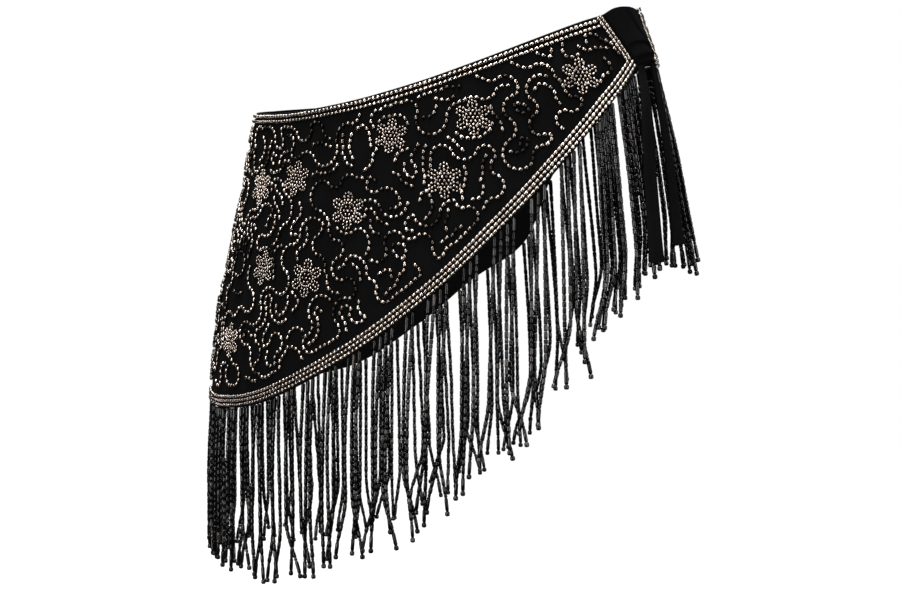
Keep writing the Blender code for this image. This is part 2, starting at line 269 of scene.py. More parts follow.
def inset_place(side, edge, share, inset):
    """Turn and height a distance in from a panel's edge."""
    before = edge_point(side, edge, max(share - SMALL_SHARE, 0.0))[0]
    after = edge_point(side, edge, min(share + SMALL_SHARE, 1.0))[0]
    point, place = edge_point(side, edge, share)
    inward = way_out(*place).cross((after - before).normalized()).normalized()
    middle = (INSIDE, share) if edge == "end" else (share, 0.5)
    if inward.dot(form_point(*panel_place(side, *middle)) - point) < 0:
        inward = -inward
    turn, height = place_of(point + inward * inset)
    if side == "front":
        return max(turn, SEAM_TURN - 90), height
    return min(turn % 360, 270 - SEAM_TURN), height


def walk(side, edge, level=False, steps=200):
    """Distances walked along an edge of a panel, over the ground only where level is set."""
    walked = [0.0]
    before = edge_point(side, edge, 0.0)[0]
    for i in range(1, steps + 1):
        here = edge_point(side, edge, i / steps)[0]
        step = here - before
        walked.append(walked[-1] + (step.xy.length if level else step.length))
        before = here
    return walked


def share_at(walked, distance):
    """Share along an edge where a distance has been walked."""
    after = next((i for i, so_far in enumerate(walked) if so_far > distance), len(walked) - 1)
    before = after - 1
    part = (distance - walked[before]) / (walked[after] - walked[before])
    return (before + part) / (len(walked) - 1)


for side in PANELS:
    print(side, "panel: top", round(walk(side, "top")[-1], 3), "m, hem", round(walk(side, "hem")[-1], 3), "m")

# %% [markdown]
# ## Crepe
# Crepe is woven from hard-twisted yarn, which gives it a dull, pebbled face that hardly shines. Two noises
# make its bump: one as fine as the yarn, and one a few yarns wide for the pebble. Object coordinates carry
# it, since crepe has no direction that the eye could check against a seam. A little sheen stands for the
# fibre ends.

# %% Helpers for nodes, and the crepe
def fill(tree, node, inputs):
    """Give a node's inputs their values, or links from the outputs of other nodes."""
    for key, value in inputs.items():
        if isinstance(value, bpy.types.NodeSocket):
            tree.links.new(value, node.inputs[key])
        else:
            node.inputs[key].default_value = value


def add(tree, kind, inputs=None, **settings):
    """A new node of a kind, with its settings and what goes into it."""
    made = tree.nodes.new(kind)
    for name, value in settings.items():
        setattr(made, name, value)
    fill(tree, made, inputs or {})
    return made


def maths(tree, operation, *values):
    """The result of one Math node."""
    return add(tree, "ShaderNodeMath", dict(enumerate(values)), operation=operation).outputs[0]


def ranged(tree, value, ends):
    """A value carried from one range to another."""
    return add(tree, "ShaderNodeMapRange", {"Value": value, **ends}).outputs["Result"]


def ramp_of(tree, value, stops):
    """A colour that follows a value, from places and colours."""
    ramp = add(tree, "ShaderNodeValToRGB", {"Fac": value})
    elements = ramp.color_ramp.elements
    while len(elements) < len(stops):
        elements.new(0.5)
    for element, (where, colour) in zip(elements, stops):
        element.position = where
        element.color = (*colour, 1.0)
    return ramp.outputs["Color"]


def shader_of(name):
    """A new material, its node tree and its Principled node."""
    material = bpy.data.materials.new(name)
    material.use_nodes = True
    tree = material.node_tree
    return material, tree, tree.nodes["Principled BSDF"]


def make_crepe():
    """Matt black crepe."""
    material, tree, shader = shader_of("black_crepe_cloth")
    place = add(tree, "ShaderNodeTexCoord").outputs["Object"]
    yarn = add(tree, "ShaderNodeTexNoise", {"Vector": place, "Scale": 2600.0, "Detail": 2.0})
    pebble = add(tree, "ShaderNodeTexVoronoi", {"Vector": place, "Scale": 1100.0}, feature="SMOOTH_F1")
    weave = maths(tree, "MULTIPLY_ADD", pebble.outputs["Distance"], 0.6, yarn.outputs["Fac"])
    bump = add(tree, "ShaderNodeBump", {"Strength": 0.5, "Distance": 0.0003, "Height": weave})
    shade = add(tree, "ShaderNodeTexNoise", {"Vector": place, "Scale": 45.0, "Detail": 4.0})
    blacks = ((0.0, (0.0012, 0.0012, 0.0013)), (1.0, (0.0030, 0.0029, 0.0030)))
    fill(tree, shader, {
        "Base Color": ramp_of(tree, shade.outputs["Fac"], blacks), "Normal": bump.outputs["Normal"],
        "Roughness": 0.85, "Specular IOR Level": 0.06, "Sheen Weight": 0.004, "Sheen Roughness": 0.5})
    return material


crepe = make_crepe()
print("Made", crepe.name)

# %% [markdown]
# ## Metal-coated seed beads
# The beads are glass with a warm pewter coating. No two catch the light alike, and some in each run look
# nearly black. A number from 0 to 1 is stored on every bead when it is strung, and the finish reads it: low
# is a dark bead with its coating worn, high a bright one. The stored number travels with the mesh, so it
# needs no image.

# %% Pewter finish
PEWTER = ((0.0, (0.016, 0.014, 0.013)), (0.22, (0.040, 0.034, 0.030)), (0.32, (0.25, 0.21, 0.18)),
          (0.65, (0.45, 0.385, 0.335)), (1.0, (0.86, 0.76, 0.68)))


def follow_tone(tree, shader, stops, darkest, brightest):
    """Colour and roughness that follow the stored number, which is given back."""
    tone = add(tree, "ShaderNodeAttribute", attribute_name="tone").outputs["Fac"]
    fill(tree, shader, {"Base Color": ramp_of(tree, tone, stops),
                        "Roughness": ranged(tree, tone, {"To Min": darkest, "To Max": brightest})})
    return tone


def make_pewter():
    """Warm pewter coating that differs from bead to bead."""
    material, tree, shader = shader_of("pewter_seed_beads")
    follow_tone(tree, shader, PEWTER, 0.28, 0.21)
    fill(tree, shader, {"Metallic": 1.0})
    return material


pewter = make_pewter()
print("Made", pewter.name)

# %% [markdown]
# ## Black bugles
# A bugle is a length of hexagonal glass cane. It is black right through and polished, so nearly all that
# shows is what it reflects: a clear coat over a dark base does that. The stored number makes a few of them
# smoky. The cane is cut and not polished at its ends, and the joints between bugles lie in shade, so a second
# number turns the shine down to nothing there. That is partly the dull cut end and partly painted shade at
# the joints, and each bugle reads apart from the next.

# %% Bugle finish
BUGLE_BLACK = ((0.0, (0.0008, 0.0008, 0.0009)), (0.9, (0.003, 0.0028, 0.0028)), (1.0, (0.035, 0.029, 0.025)))
SHINE = {"Specular IOR Level": 0.8, "Coat Weight": 0.2}
SHINE_SPREAD = (0.3, 1.25)     # least and most of it, from bugle to bugle


def make_bugle_glass():
    """Polished black glass."""
    material, tree, shader = shader_of("black_bugle_glass")
    tone = follow_tone(tree, shader, BUGLE_BLACK, 0.19, 0.09)
    # The shine drops to nothing near each end of a bugle: partly the dull cut end of the cane, partly painted
    # shade at the joints between bugles.
    end_dull_and_shade = add(tree, "ShaderNodeAttribute", attribute_name="cut_end_and_joint_shade").outputs["Fac"]
    for name, shine in SHINE.items():
        uneven = ranged(tree, tone, {"To Min": shine * SHINE_SPREAD[0], "To Max": shine * SHINE_SPREAD[1]})
        fill(tree, shader, {name: ranged(tree, end_dull_and_shade, {"To Min": uneven, "To Max": 0.0})})
    fill(tree, shader, {"Coat Roughness": 0.08})
    return material


bugle_glass = make_bugle_glass()
print("Made", bugle_glass.name)

# %% [markdown]
# ## Cloth as a thin wall
# A panel is lined crepe, 1.5 mm thick with its edges turned. A grid of points on the creased form gives its
# outer face, a second grid inside it gives the lining, and the rims join them. A small bevel rolls the
# turned edges, which is what makes cloth look folded and not cut from card.

# %% Helpers that build a wall of cloth
EDGE_ROLL = 0.00055            # radius of a turned edge
SQUARE = ((0, 0), (1, 0), (1, 1), (0, 1))


def put_in_scene(name, data):
    """A new object in the scene."""
    thing = bpy.data.objects.new(name, data)
    bpy.context.scene.collection.objects.link(thing)
    return thing


def cloth_wall(name, point, columns, rows):
    """A closed wall of point(u, v, face), where face is 0 on the inside and 1 on the outside."""
    mesh = bmesh.new()
    grid = [[[mesh.verts.new(point(i / columns, j / rows, face)) for j in range(rows + 1)]
             for i in range(columns + 1)] for face in (0, 1)]
    for i in range(columns):
        for j in range(rows):
            for sheet in grid:
                mesh.faces.new((sheet[i][j], sheet[i + 1][j], sheet[i + 1][j + 1], sheet[i][j + 1]))
    inside, outside = grid
    for i in range(columns):
        for j in (0, rows):
            mesh.faces.new((inside[i][j], inside[i + 1][j], outside[i + 1][j], outside[i][j]))
    for j in range(rows):
        for i in (0, columns):
            mesh.faces.new((inside[i][j], inside[i][j + 1], outside[i][j + 1], outside[i][j]))
    bmesh.ops.recalc_face_normals(mesh, faces=mesh.faces)
    data = bpy.data.meshes.new(name)
    mesh.to_mesh(data)
    mesh.free()
    data.materials.append(crepe)
    data.shade_smooth()
    piece = put_in_scene(name, data)
    roll = piece.modifiers.new("rolled_edge", "BEVEL")
    roll.width = EDGE_ROLL
    roll.segments = 2
    roll.limit_method = "ANGLE"
    roll.angle_limit = math.radians(50)
    return piece


def area_of(point, columns=80, rows=30):
    """Area of the outer face that point(u, v, 1) gives, from small quads."""
    total = 0.0
    for i in range(columns):
        for j in range(rows):
            a, b, c, d = (point((i + x) / columns, (j + y) / rows, 1) for x, y in SQUARE)
            total += (c - a).cross(d - b).length / 2
    return total


# %% Front and back panels
PANEL_COLUMNS = 190
PANEL_ROWS = 46
PUCKER = 0.00012               # how deep the border's stitches pull the cloth
PUCKER_LENGTH = 0.0058         # from one pull to the next
PUCKER_REACH = (0.06, 0.07)    # share of the depth that they reach from the top and from the hem
panels = {}
for side in PANELS:
    hem_length = walk(side, "hem")[-1]

    def wall(along, down, face, side=side, pulls=hem_length / PUCKER_LENGTH):
        near_hem = math.exp(-((1 - down) / PUCKER_REACH[1]) ** 2)
        near_edge = near_hem + math.exp(-(down / PUCKER_REACH[0]) ** 2)
        pucker = PUCKER * near_edge * math.sin(math.tau * along * pulls)
        return panel_point(side, along, down, face * CLOTH + pucker)

    panels[side] = cloth_wall(f"cloth_{side}", wall, PANEL_COLUMNS, PANEL_ROWS)
    area_of(wall)

# %% [markdown]
# ## The tie
# The ends of the panels are drawn together by one piece of cloth, with a long crease where it turns over
# and two rolls at the bottom where it wraps. It is the same kind of wall with a lip along each crease:
# cloth that folds over itself swells softly on one side of the line and drops sharply on the other.

# %% Tie with its rolls
TIE = (
    Section(71.2, 0.0334, 81.85, 0.0002),
    Section(76.5, 0.0380, 86.5, 0.0028),
    Section(84.5, 0.0390, 92.0, 0.0036),
    Section(97.8, 0.0360, 100.0, 0.0010),
)
TIE_BULGE = 0.0045             # how far the drawn cloth stands out in the middle
TIE_FULLNESS = 0.8             # under 1 spreads the bulge towards both ends
FOLD_FADE = 8                  # the folds fade out over an eighth of the tie at both ends
Lip = namedtuple("Lip", "points lift swell drop")
TIE_LIPS = (                   # each line is (along, down) from end to end, the drop on its lower side
    Lip(((0.60, -0.05), (0.67, 0.29), (0.73, 0.50), (0.79, 0.80)), 0.0011, 0.15, 0.022),
    Lip(((0.02, 0.62), (0.26, 0.61), (0.59, 0.63), (0.76, 0.66)), 0.0010, 0.13, 0.022),
    Lip(((0.00, 0.87), (0.25, 0.85), (0.69, 0.86), (0.98, 0.84)), 0.0013, 0.11, 0.022),
)


def lip_lift(lip, along, down):
    """Lift beside a folded line: soft above it and steep below it."""
    best = None
    for (a0, d0), (a1, d1) in zip(lip.points, lip.points[1:]):
        run = Vector((a1 - a0, d1 - d0))
        offset = Vector((along - a0, down - d0))
        part = min(max(offset.dot(run) / run.length_squared, 0.0), 1.0)
        away = offset - run * part
        side = run.x * offset.y - run.y * offset.x
        signed = math.copysign(away.length, side)
        if best is None or abs(signed) < abs(best):
            best = signed
    breadth = lip.drop if best > 0 else lip.swell
    return lip.lift * math.exp(-(best / breadth) ** 2)


def tie_point(along, down, face):
    """A point on the tie's cloth."""
    turn, height = place_on(TIE, along, down)
    bulge = TIE_BULGE * math.sin(math.pi * along) ** TIE_FULLNESS
    edge = min(along, 1 - along) * FOLD_FADE
    fold = sum(lip_lift(lip, along, down) for lip in TIE_LIPS) * ease(edge)
    return form_point(turn, height, bulge + fold + face * CLOTH)


tie = cloth_wall("tie_cloth", tie_point, 72, 72)
print("tie_cloth", round(area_of(tie_point), 5), "square metres")

# %% [markdown]
# ## The tails of the tie
# Two plain strips hang from the tie. Each is folded lengthwise and pressed, so its edges are a little
# thicker than its middle, and it sways slowly on its way down.

# %% Tails
Tail = namedtuple("Tail", "top length falls")
Fall = namedtuple("Fall", "turn width proud")
TAILS = {
    "tail_front": Tail(-0.0001, 0.128, (Fall(84.3, 0.0070, 0.0022), Fall(78.4, 0.0080, 0.0086),
                                        Fall(75.8, 0.0082, 0.0090), Fall(73.9, 0.0082, 0.0098),
                                        Fall(72.1, 0.0084, 0.0108))),
    "tail_rear": Tail(0.0010, 0.121, (Fall(95.3, 0.0096, 0.0022), Fall(94.4, 0.0115, 0.0016),
                                      Fall(93.0, 0.0130, 0.0010), Fall(89.6, 0.0140, 0.0010))),
}
TAIL_CUP = 0.0007              # how far a tail's edges curl in
CUP_FROM = 6                   # the curl is full after a sixth of the length
TAIL_PRESS = 0.0004            # how deep the middle is pressed in
PRESS_BREADTH = 0.05           # share of the width that the pressed middle takes
tails = {}
marks = [step / 20 for step in range(21)]
for name, tail in TAILS.items():
    speed = half_width(0.0) * FIGURE_DEPTH * math.pi / 180

    def strip(across, down, face, tail=tail, speed=speed):
        turn, width, proud = smooth(tail.falls, down)
        turn += (across - 0.5) * width / speed
        pressed = math.exp(-((across - 0.5) / PRESS_BREADTH) ** 2) * TAIL_PRESS
        cup = TAIL_CUP * (1 - (2 * across - 1) ** 2) * ease(down * CUP_FROM)
        return form_point(turn, tail.top - down * tail.length, proud + cup - pressed * face + face * CLOTH)

    tails[name] = cloth_wall(f"{name}_cloth", strip, 14, 90)
    widest = max((strip(1, mark, 1) - strip(0, mark, 1)).length for mark in marks)
    longest = sum((strip(0.5, low, 1) - strip(0.5, high, 1)).length for high, low in zip(marks, marks[1:]))
    area_of(strip, 2, 60)

# %% [markdown]
# ## One bead, and how it is strung
# There are thousands of beads, so Geometry Nodes string them. A guide mesh holds only the lines that the
# thread follows, with the way out of the cloth stored at each point. The tree spaces points evenly on each
# line, puts a copy of one bead on each, its hole along the thread, gives it a chance roll and size, and
# turns the copies into plain mesh. A bead is a many-sided ring: a short closed outline swept round a
# circle, so it has a real hole.

# %% Helpers for the node trees
FLOATS_IN = ("Bead Corner", "Wall", "Patchiness", "Least Tone")
WHOLES_IN = ("Sides", "Corner Cuts", "Seed")


def new_tree(name, *floats):
    """A tree that takes and gives geometry, and the sockets that hand it its named inputs."""
    tree = bpy.data.node_groups.new(name, "GeometryNodeTree")
    tree.is_modifier = True
    kinds = [("Geometry", "Geometry")]
    kinds += [(one, "Float") for one in (*floats, *FLOATS_IN)]
    kinds += [(one, "Int") for one in WHOLES_IN]
    kinds.append(("Finish", "Material"))
    for one, kind in kinds:
        tree.interface.new_socket(one, in_out="INPUT", socket_type=f"NodeSocket{kind}")
    tree.interface.new_socket("Geometry", in_out="OUTPUT", socket_type="NodeSocketGeometry")
    return tree, add(tree, "NodeGroupInput").outputs


def store(tree, name, geometry, value, kind, domain):
    """Geometry that carries a value under a name."""
    made = add(tree, "GeometryNodeStoreNamedAttribute", data_type=kind, domain=domain)
    fill(tree, made, {"Geometry": geometry, "Name": name, "Value": value})
    return made.outputs["Geometry"]


def stored(tree, name, kind):
    """The value that is stored under a name."""
    return add(tree, "GeometryNodeInputNamedAttribute", {"Name": name}, data_type=kind).outputs[0]


def coordinate(tree, axis):
    """Where each point lies along an axis."""
    place = add(tree, "GeometryNodeInputPosition").outputs[0]
    return add(tree, "ShaderNodeSeparateXYZ", {0: place}).outputs[axis]


# %% One bead, and how its copies become a mesh
def bead_shape(tree, given):
    """A bead one metre wide and one metre long, its hole along Z and its outer corners cut."""
    radius = maths(tree, "MULTIPLY_ADD", given["Wall"], -0.5, 0.5)
    ring = add(tree, "GeometryNodeCurvePrimitiveCircle", {"Resolution": given["Sides"], "Radius": radius})
    section = add(tree, "GeometryNodeCurvePrimitiveQuadrilateral", {"Width": given["Wall"], "Height": 1.0})
    outer = maths(tree, "GREATER_THAN", coordinate(tree, "X"), 0.0)
    rounded = add(tree, "GeometryNodeFilletCurve", {
        "Curve": section.outputs["Curve"], "Count": maths(tree, "MULTIPLY", outer, given["Corner Cuts"]),
        "Radius": given["Bead Corner"]}, mode="POLY")
    sweep = add(tree, "GeometryNodeCurveToMesh", {
        "Curve": ring.outputs["Curve"], "Profile Curve": rounded.outputs["Curve"]})
    return sweep.outputs["Mesh"]


def bead_tone(tree, given):
    """The number that each bead keeps: chance, mixed with patches that neighbours share."""
    chance = add(tree, "FunctionNodeRandomValue", {"Seed": given["Seed"]}, data_type="FLOAT")
    patch = add(tree, "ShaderNodeTexNoise", {"Scale": 55.0, "Detail": 1.0})
    spread = ranged(tree, patch.outputs["Fac"], {"From Min": 0.36, "From Max": 0.58})
    tone = add(tree, "ShaderNodeMix", data_type="FLOAT")
    fill(tree, tone, {"Factor": given["Patchiness"], "A": chance.outputs[1], "B": spread})
    return ranged(tree, tone.outputs["Result"], {"To Min": given["Least Tone"]})


def string_beads(tree, given, points, bead, rotation, scale):
    """A copy of the bead on each point, rolled by chance about its hole, as plain mesh with its finish."""
    placed = add(tree, "GeometryNodeInstanceOnPoints", {
        "Points": points, "Instance": bead, "Rotation": rotation, "Scale": scale})
    roll = add(tree, "FunctionNodeRandomValue", data_type="FLOAT_VECTOR")
    fill(tree, roll, {0: (0.0, 0.0, 0.0), 1: (0.0, 0.0, math.tau), "Seed": given["Seed"]})
    rolled = add(tree, "GeometryNodeRotateInstances", {
        "Instances": placed.outputs["Instances"], "Rotation": roll.outputs[0]})
    toned = store(tree, "tone", rolled.outputs["Instances"], bead_tone(tree, given), "FLOAT", "INSTANCE")
    real = add(tree, "GeometryNodeRealizeInstances", {"Geometry": toned})
    shade = add(tree, "GeometryNodeSetShadeSmooth", {
        "Geometry": real.outputs["Geometry"], "Shade Smooth": True})
    paint = add(tree, "GeometryNodeSetMaterial", {
        "Geometry": shade.outputs["Geometry"], "Material": given["Finish"]})
    add(tree, "NodeGroupOutput", {"Geometry": paint.outputs["Geometry"]})


# %% The tree that strings beads on lines
def make_chain_tree():
    """Beads at an even pitch on every line of a guide mesh."""
    tree, given = new_tree("beads_on_lines", "Pitch", "Bead Length", "Bead Width", "Size Scatter")
    lines = add(tree, "GeometryNodeMeshToCurve", {"Mesh": given["Geometry"]})
    length = add(tree, "GeometryNodeSplineLength").outputs["Length"]
    whole = maths(tree, "ROUND", maths(tree, "DIVIDE", length, given["Pitch"]))
    closed = add(tree, "GeometryNodeInputSplineCyclic").outputs[0]
    open_end = add(tree, "FunctionNodeBooleanMath", {0: closed}, operation="NOT").outputs[0]
    evened = add(tree, "GeometryNodeResampleCurve", {
        "Curve": lines.outputs["Curve"], "Count": maths(tree, "ADD", whole, open_end)})
    points = add(tree, "GeometryNodeCurveToPoints", {"Curve": evened.outputs["Curve"]}, mode="EVALUATED")
    turned = add(tree, "FunctionNodeAxesToRotation", primary_axis="Z", secondary_axis="X")
    fill(tree, turned, {
        "Primary Axis": points.outputs["Tangent"], "Secondary Axis": stored(tree, "out", "FLOAT_VECTOR")})
    size = add(tree, "ShaderNodeCombineXYZ", {
        0: given["Bead Width"], 1: given["Bead Width"], 2: given["Bead Length"]})
    growth = add(tree, "FunctionNodeRandomValue", data_type="FLOAT")
    fill(tree, growth, {
        2: maths(tree, "SUBTRACT", 1.0, given["Size Scatter"]),
        3: maths(tree, "ADD", 1.0, given["Size Scatter"]), "Seed": given["Seed"]})
    scaled = add(tree, "ShaderNodeVectorMath", operation="SCALE")
    fill(tree, scaled, {0: size.outputs[0], "Scale": growth.outputs[1]})
    string_beads(tree, given, points.outputs["Points"], bead_shape(tree, given), turned.outputs["Rotation"],
                 scaled.outputs["Vector"])
    return tree


chain_tree = make_chain_tree()
print("Tree", chain_tree.name, "has", len(chain_tree.nodes), "nodes")


# %% From guide lines to a plain mesh of beads
Line = namedtuple("Line", "points outs closed")


def sewn_line(places, lift, closed=False):
    """A line through places on the cloth, lifted off it."""
    return Line([on_cloth(*place, lift) for place in places], [way_out(*place) for place in places], closed)


def guide_of(name, lines):
    """A mesh that holds only lines, with the way out of the cloth at each point."""
    points, edges, outs = [], [], []
    for line in lines:
        start = len(points)
        points += line.points
        outs += line.outs
        edges += [(start + i, start + i + 1) for i in range(len(line.points) - 1)]
        if line.closed:
            edges.append((len(points) - 1, start))
    mesh = bpy.data.meshes.new(name)
    mesh.from_pydata(points, edges, [])
    kept = mesh.attributes.new("out", "FLOAT_VECTOR", "POINT")
    kept.data.foreach_set("vector", [value for out in outs for value in out])
    return mesh


def grow(name, guide, tree, values):
    """The plain mesh that a tree makes of a guide, as a piece of its own."""
    holder = put_in_scene(f"{name}_guide", guide)
    modifier = holder.modifiers.new("string", "NODES")
    modifier.node_group = tree
    for item in tree.interface.items_tree:
        if item.in_out == "INPUT" and item.name in values:
            modifier[item.identifier] = values[item.name]
    seen = holder.evaluated_get(bpy.context.evaluated_depsgraph_get())
    mesh = bpy.data.meshes.new_from_object(seen)
    mesh.name = name
    piece = put_in_scene(name, mesh)
    bpy.data.objects.remove(holder, do_unlink=True)
    print(name, len(mesh.polygons), "faces")
    return piece


def seed_beads(kind, side, lines, values):
    """Seed beads of one kind, strung on a panel's lines."""
    round_bead = {"Sides": 8, "Wall": 0.68, "Corner Cuts": 1, "Finish": pewter}
    guide = guide_of(f"{kind}_lines_{side}", lines)
    return grow(f"{kind}_beads_{side}", guide, chain_tree, {**round_bead, **values})


# %% [markdown]
# ## Border rows
# Rows of beads follow the edges: two along the top, two down each end beside the tie, and three above the
# hem. They are couched down one bead after another, hole to hole, with only a little cloth between them.

# %% Rows along the edges
Rows = namedtuple("Rows", "count first pitch")
ROWS = {                       # how many, the first one's distance from its edge, and from one to the next
    "top": Rows(2, 0.0024, 0.0036),
    "end": Rows(2, 0.0020, 0.0030),
    "hem": Rows(3, 0.0016, 0.0030),
}
BORDER_BEADS = {
    "Pitch": 0.0036, "Bead Length": 0.0028, "Bead Width": 0.0023, "Bead Corner": 0.13, "Size Scatter": 0.05,
    "Patchiness": 0.25, "Least Tone": 0.74, "Seed": 3,
}
END_CLEAR = {"top": 0.0078, "hem": 0.0014}  # how far rows stop from the end's edge
HEM_CLEAR = 0.0102             # how far the end rows stop from the hem
MIDDLE_HEIGHT = 0.46           # of a bead over the cloth, as a share of its width
BEAD_LIFT = CLOTH + MIDDLE_HEIGHT * BORDER_BEADS["Bead Width"]
ROW_STEPS = 300                # along a whole row
NEAR_TIE = 60                  # steps from the tie in which a row can come near the end's
ROW_END = 0.999                # rows stop just short of the side seam


def edge_places(side, edge, inset=0.0):
    """Places along the whole of an edge, a distance in from it."""
    return [inset_place(side, edge, ROW_END * i / ROW_STEPS, inset) for i in range(ROW_STEPS + 1)]


def clear_of(places, others, room):
    """The places that keep their distance from some others."""
    points = [form_point(*place) for place in others]
    return [place for place in places if min((form_point(*place) - point).length for point in points) > room]


def border_rows(side):
    """All the border rows of a panel: the end's stop at the hem's, and the others at the end's."""
    ends = edge_places(side, "end")
    hems = edge_places(side, "hem")[:NEAR_TIE]
    lines = []
    for edge, rows in ROWS.items():
        for number in range(rows.count):
            places = edge_places(side, edge, rows.first + number * rows.pitch)
            if edge == "end":
                places = clear_of(places, hems, HEM_CLEAR)
            else:
                places = clear_of(places[:NEAR_TIE], ends, END_CLEAR[edge]) + places[NEAR_TIE:]
            lines.append(sewn_line(places, BEAD_LIFT))
    return lines


borders = {side: seed_beads("border", side, border_rows(side), BORDER_BEADS) for side in PANELS}

# %% [markdown]
# ## Flowers
# A flower is six petals round one bead. Each petal is a closed loop of small beads with two more inside it,
# and short spokes of two beads lie between the petals. The same chain tree strings them: the guide only
# needs ovals, short lines, and for one bead a line that is too short to hold a second.

# %% Where the flowers lie
Flower = namedtuple("Flower", "along down radius")
FLOWERS = {
    "front": (
        Flower(0.202, 0.53, 0.0120),
        Flower(0.414, 0.31, 0.0117),
        Flower(0.536, 0.20, 0.0115),
        Flower(0.467, 0.53, 0.0119),
        Flower(0.598, 0.43, 0.0126),
        Flower(0.682, 0.24, 0.0122),
        Flower(0.764, 0.25, 0.0128),
        Flower(0.724, 0.53, 0.0122),
        Flower(0.650, 0.62, 0.0130),
        Flower(0.785, 0.77, 0.0124),
        Flower(0.905, 0.48, 0.0124),
    ),
    "back": (
        Flower(0.378, 0.405, 0.0112),
        Flower(0.468, 0.30, 0.0117),
        Flower(0.556, 0.52, 0.0117),
        Flower(0.582, 0.23, 0.0117),
        Flower(0.628, 0.60, 0.0124),
        Flower(0.690, 0.27, 0.0122),
        Flower(0.684, 0.77, 0.0122),
        Flower(0.755, 0.55, 0.0124),
        Flower(0.800, 0.22, 0.0126),
        Flower(0.840, 0.79, 0.0124),
        Flower(0.905, 0.45, 0.0124),
    ),
}
print("Flowers:", {side: len(rows) for side, rows in FLOWERS.items()})

# %% The lines of one flower
PETALS = 6
FLOWER_BEAD = 0.0018
FLOWER_BEADS = {
    "Pitch": 0.0025, "Bead Length": FLOWER_BEAD, "Bead Width": FLOWER_BEAD, "Bead Corner": 0.24,
    "Size Scatter": 0.05, "Patchiness": 0.30, "Least Tone": 0.40, "Seed": 8,
}
FLOWER_LIFT = CLOTH + MIDDLE_HEIGHT * FLOWER_BEAD
FLOWER_SPREAD = (1.12, 1.05)   # sideways and upwards, past the plate that it covers
FLOWER_TURN = 0.06             # most that a flower is turned off upright, in radians
LOOP_STEPS = 24                # points round a petal's loop
LOOP_MIDDLE = 0.70             # of a petal; this and the next four are shares of the flower's radius
LOOP_REACH = 0.30              # half a petal's length
LOOP_BREADTH = 0.24            # half its breadth
FILLING = (0.62, 0.80)         # from where to where the beads in a petal lie
SPOKE = (0.24, 0.45)           # from where to where a spoke does
LOOP_FULLER = 0.12             # how much broader a petal is towards its tip
ONE_BEAD = 0.0001              # length of a line that holds one bead


def flower_lines(side, flower, turned):
    """The lines of one flower: petals with their fillings, spokes and the bead in the middle."""
    turn, height = panel_place(side, flower.along, flower.down)
    centre = form_point(turn, height)
    across = (form_point(turn + 1, height) - centre).normalized()
    upward = (form_point(turn, height + PROBE) - centre).normalized()
    radius = flower.radius - FLOWER_BEAD / 2

    def line(spots, closed=False):
        return sewn_line([place_of(centre + across * x + upward * y) for x, y in spots], FLOWER_LIFT, closed)

    def polar(reach, aside, angle):
        wide, tall = FLOWER_SPREAD
        return (wide * (reach * math.cos(angle) - aside * math.sin(angle)),
                tall * (reach * math.sin(angle) + aside * math.cos(angle)))

    lines = [line([(0.0, 0.0), (ONE_BEAD, 0.0)])]
    for petal in range(PETALS):
        angle = turned + math.tau * petal / PETALS
        loop = []
        for step in range(LOOP_STEPS):
            a = math.tau * step / LOOP_STEPS
            fuller = 1 + LOOP_FULLER * math.cos(a)
            reach = radius * (LOOP_MIDDLE + LOOP_REACH * math.cos(a))
            loop.append(polar(reach, radius * LOOP_BREADTH * fuller * math.sin(a), angle))
        lines.append(line(loop, True))
        for shares, way in ((FILLING, angle), (SPOKE, angle + math.pi / PETALS)):
            lines.append(line([polar(radius * share, 0.0, way) for share in shares]))
    return lines


# %% Flowers on both panels
flowers = {}
for side in PANELS:
    lines = []
    for number, flower in enumerate(FLOWERS[side]):
        lines += flower_lines(side, flower, math.pi / 2 + FLOWER_TURN * math.sin(number * 2.3))
    flowers[side] = seed_beads("flower", side, lines, FLOWER_BEADS)

# %% [markdown]
# ## Scrolls
# Between the flowers the cloth is filled by wandering chains of single beads, called vermicelli work. A
# beader draws it freehand: the needle keeps turning one way, then the other, and steers clear of what is
# already sewn. A seeded walker does the same here. At each bead it tries small turns to both sides of the
# bend that it is in, takes the nearest one with room, and ends the chain where there is none. So no drawing
# is copied, and the pattern fills any panel evenly.

# %% Sizes of the scrolls
SCROLL_PITCH = 0.0041
CHAIN_ROOM = 0.0051            # nearest that a chain comes to another one
FLOWER_ROOM = 0.0016           # nearest that it comes to a flower
EDGE_ROOM = {"top": 0.0096, "hem": 0.0152, "end": 0.0100, "seam": 0.0040}
BEND = (0.0058, 0.0115)        # tightest and widest radius of a bend
BEND_TURN = (1.3, 3.7)         # how far it turns, in radians, before it turns the other way
CHAIN_LIMIT = 70               # most beads in a chain
SHORTEST = 4                   # fewest beads in a chain that is kept
TRIES = 3600                   # chance places where a chain may start
TURN_TRIES = (0, 9, -9, 18, -18, 30, -30, 44, -44, 58, -58)  # degrees off its bend, in the order tried
OWN_NEAR = 5                   # a bead may come nearer to those just before it in its chain
LEAST_SLANT = 0.01             # keeps the root real where rows and columns nearly line up
print("Each panel is tried from", TRIES, "places")


